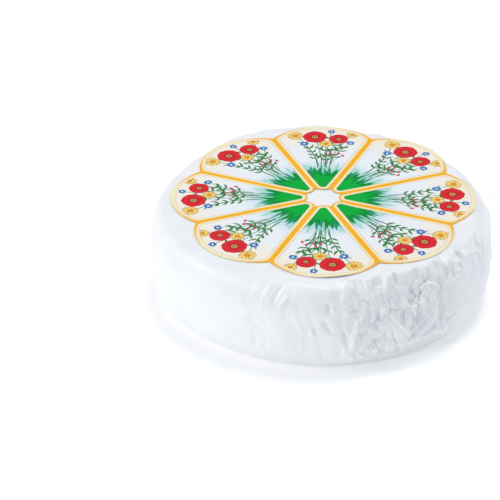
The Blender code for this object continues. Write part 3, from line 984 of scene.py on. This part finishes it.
def spread(nodes, links, value, low, high):
    """Stretches a noise's middle range to run from low to high."""
    node = nodes.new("ShaderNodeMapRange")
    node.inputs["From Min"].default_value = NOISE_RANGE[0]
    node.inputs["From Max"].default_value = NOISE_RANGE[1]
    node.inputs["To Min"].default_value = low
    node.inputs["To Max"].default_value = high
    links.new(value, node.inputs["Value"])
    return node.outputs["Result"]


def two_colours(nodes, links, share, first, second):
    node = nodes.new("ShaderNodeMix")
    node.data_type = "RGBA"
    node.inputs["A"].default_value = (*first, 1)
    node.inputs["B"].default_value = (*second, 1)
    links.new(share, node.inputs["Factor"])
    return node.outputs["Result"]


def product(nodes, links, first, second):
    node = nodes.new("ShaderNodeMath")
    node.operation = "MULTIPLY"
    links.new(first, node.inputs[0])
    links.new(second, node.inputs[1])
    return node.outputs["Value"]


def bump(nodes, links, height, distance, strength, below=None):
    """Bump of this depth in metres, over another one below it."""
    node = nodes.new("ShaderNodeBump")
    node.inputs["Distance"].default_value = distance
    node.inputs["Strength"].default_value = strength
    links.new(height, node.inputs["Height"])
    if below:
        links.new(below, node.inputs["Normal"])
    return node.outputs["Normal"]


def object_place(nodes, links, stretch=(1, 1, 1)):
    """Places on the piece in metres. A small number for Z makes what is drawn there taller."""
    place = nodes.new("ShaderNodeTexCoord")
    mapping = nodes.new("ShaderNodeMapping")
    mapping.inputs["Scale"].default_value = stretch
    links.new(place.outputs["Object"], mapping.inputs["Vector"])
    return mapping.outputs["Vector"]


def wrap_material():
    """Thin white paper: fine upright wrinkles where it is crumpled, fibres and a soft, uneven sheen."""
    material, nodes, links = new_material("wrap_paper")
    surface = nodes["Principled BSDF"]
    upright = object_place(nodes, links, WRINKLE_STRETCH)
    even = object_place(nodes, links)
    crumple = nodes.new("ShaderNodeAttribute")
    crumple.attribute_name = "crumple"

    cloudy = spread(nodes, links, noise(nodes, links, even, *WRAP_CLOUDS), 0, 1)
    links.new(two_colours(nodes, links, cloudy, *WRAP_TONES), surface.inputs["Base Color"])
    sheen = spread(nodes, links, noise(nodes, links, even, *WRAP_SHEEN), *WRAP_ROUGHNESS)
    links.new(sheen, surface.inputs["Roughness"])

    wrinkles = product(nodes, links, noise(nodes, links, upright, *WRINKLES), crumple.outputs["Fac"])
    waves = noise(nodes, links, upright, *WRAP_WAVES)
    fibres = noise(nodes, links, even, *FIBRES)
    normal = bump(nodes, links, wrinkles, *WRINKLE_BUMP)
    normal = bump(nodes, links, waves, *WRAP_WAVE_BUMP, normal)
    normal = bump(nodes, links, fibres, *FIBRE_BUMP, normal)
    links.new(normal, surface.inputs["Normal"])
    return material


def label_material():
    """Smooth printed paper: the inks come from the mesh, a little uneven, on a fine grain and satin."""
    material, nodes, links = new_material("label_paper")
    surface = nodes["Principled BSDF"]
    even = object_place(nodes, links)
    ink = nodes.new("ShaderNodeAttribute")
    ink.attribute_name = "ink"
    patches = spread(nodes, links, noise(nodes, links, even, *PRINT_PATCHES), 0, 1)
    patchy = two_colours(nodes, links, patches, *PRINT_TONES)
    printed = nodes.new("ShaderNodeMix")
    printed.data_type = "RGBA"
    printed.blend_type = "MULTIPLY"
    printed.inputs["Factor"].default_value = 1.0
    links.new(ink.outputs["Color"], printed.inputs["A"])
    links.new(patchy, printed.inputs["B"])
    links.new(printed.outputs["Result"], surface.inputs["Base Color"])
    sheen = spread(nodes, links, noise(nodes, links, even, *PRINT_SHEEN), *PRINT_ROUGHNESS)
    links.new(sheen, surface.inputs["Roughness"])
    surface.inputs["Specular IOR Level"].default_value = PRINT_SPECULAR
    grain = noise(nodes, links, even, *PRINT_GRAIN)
    waves = noise(nodes, links, even, *PRINT_WAVES)
    normal = bump(nodes, links, waves, *PRINT_WAVE_BUMP)
    normal = bump(nodes, links, grain, *PRINT_GRAIN_BUMP, normal)
    links.new(normal, surface.inputs["Normal"])
    return material


def place_camera():
    """The photograph's view. The camera's place is worked out along its own right, up and back."""
    tilt = math.radians(CAMERA_TILT_DEG)
    aside = Vector((1, 0, 0))
    upward = Vector((0, math.sin(tilt), math.cos(tilt)))
    back = Vector((0, -math.cos(tilt), math.sin(tilt)))
    right = math.cos(CAMERA_ROLL) * aside - math.sin(CAMERA_ROLL) * upward
    up = math.sin(CAMERA_ROLL) * aside + math.cos(CAMERA_ROLL) * upward
    place = back * CAMERA_DISTANCE - right * CAMERA_ASIDE[0] - up * CAMERA_ASIDE[1]
    place -= Vector((*MIDDLE, 0))
    data = bpy.data.cameras.new("camera")
    data.sensor_width = SENSOR_MM
    data.lens = CAMERA_LENS_MM
    data.clip_start, data.clip_end = CAMERA_CLIP
    camera = bpy.data.objects.new("camera", data)
    camera.matrix_world = Matrix.Translation(place) @ Matrix((right, up, back)).transposed().to_4x4()
    bpy.context.scene.collection.objects.link(camera)
    bpy.context.scene.camera = camera


def add_lamp(name, place, size, power, colour):
    data = bpy.data.lights.new(name, "AREA")
    data.shape = "DISK"
    data.size = size
    data.energy = power
    data.color = colour
    lamp = bpy.data.objects.new(name, data)
    lamp.location = place
    lamp.rotation_euler = (Vector(place) - Vector(LAMP_AIM)).to_track_quat("Z", "Y").to_euler()
    bpy.context.scene.collection.objects.link(lamp)


def light_studio():
    world = bpy.data.worlds.new("studio")
    world.use_nodes = True
    sky = world.node_tree.nodes["Background"]
    sky.inputs["Color"].default_value = (*SKY_COLOUR, 1)
    sky.inputs["Strength"].default_value = SKY_STRENGTH
    bpy.context.scene.world = world
    for lamp in LAMPS:
        add_lamp(*lamp)


def build_floor():
    data = bpy.data.meshes.new("floor")
    corners = [(x * FLOOR_HALF, y * FLOOR_HALF, 0) for x, y in ((-1, -1), (1, -1), (1, 1), (-1, 1))]
    data.from_pydata(corners, [], [(0, 1, 2, 3)])
    floor = bpy.data.objects.new("floor", data)
    white, nodes, _ = new_material("floor_white")
    surface = nodes["Principled BSDF"]
    surface.inputs["Base Color"].default_value = (*FLOOR_COLOUR, 1)
    surface.inputs["Roughness"].default_value = FLOOR_ROUGHNESS
    surface.inputs["Emission Color"].default_value = (1, 1, 1, 1)
    surface.inputs["Emission Strength"].default_value = FLOOR_GLOW
    data.materials.append(white)
    bpy.context.scene.collection.objects.link(floor)


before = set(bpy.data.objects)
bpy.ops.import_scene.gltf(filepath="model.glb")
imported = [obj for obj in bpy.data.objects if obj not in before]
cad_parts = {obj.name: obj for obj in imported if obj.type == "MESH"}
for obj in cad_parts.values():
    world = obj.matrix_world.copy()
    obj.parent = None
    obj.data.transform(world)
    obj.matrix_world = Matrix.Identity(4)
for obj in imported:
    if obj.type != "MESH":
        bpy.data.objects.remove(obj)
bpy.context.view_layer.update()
bpy.context.scene.view_settings.view_transform = "Standard"

wrap = build_wrap(wrap_material())
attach(wrap, "root")
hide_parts("wheel")
layout = label_layout()
label_paper = label_material()
for number in range(LABEL_COUNT):
    build_label(number, layout, label_paper)
place_camera()
light_studio()
build_floor()
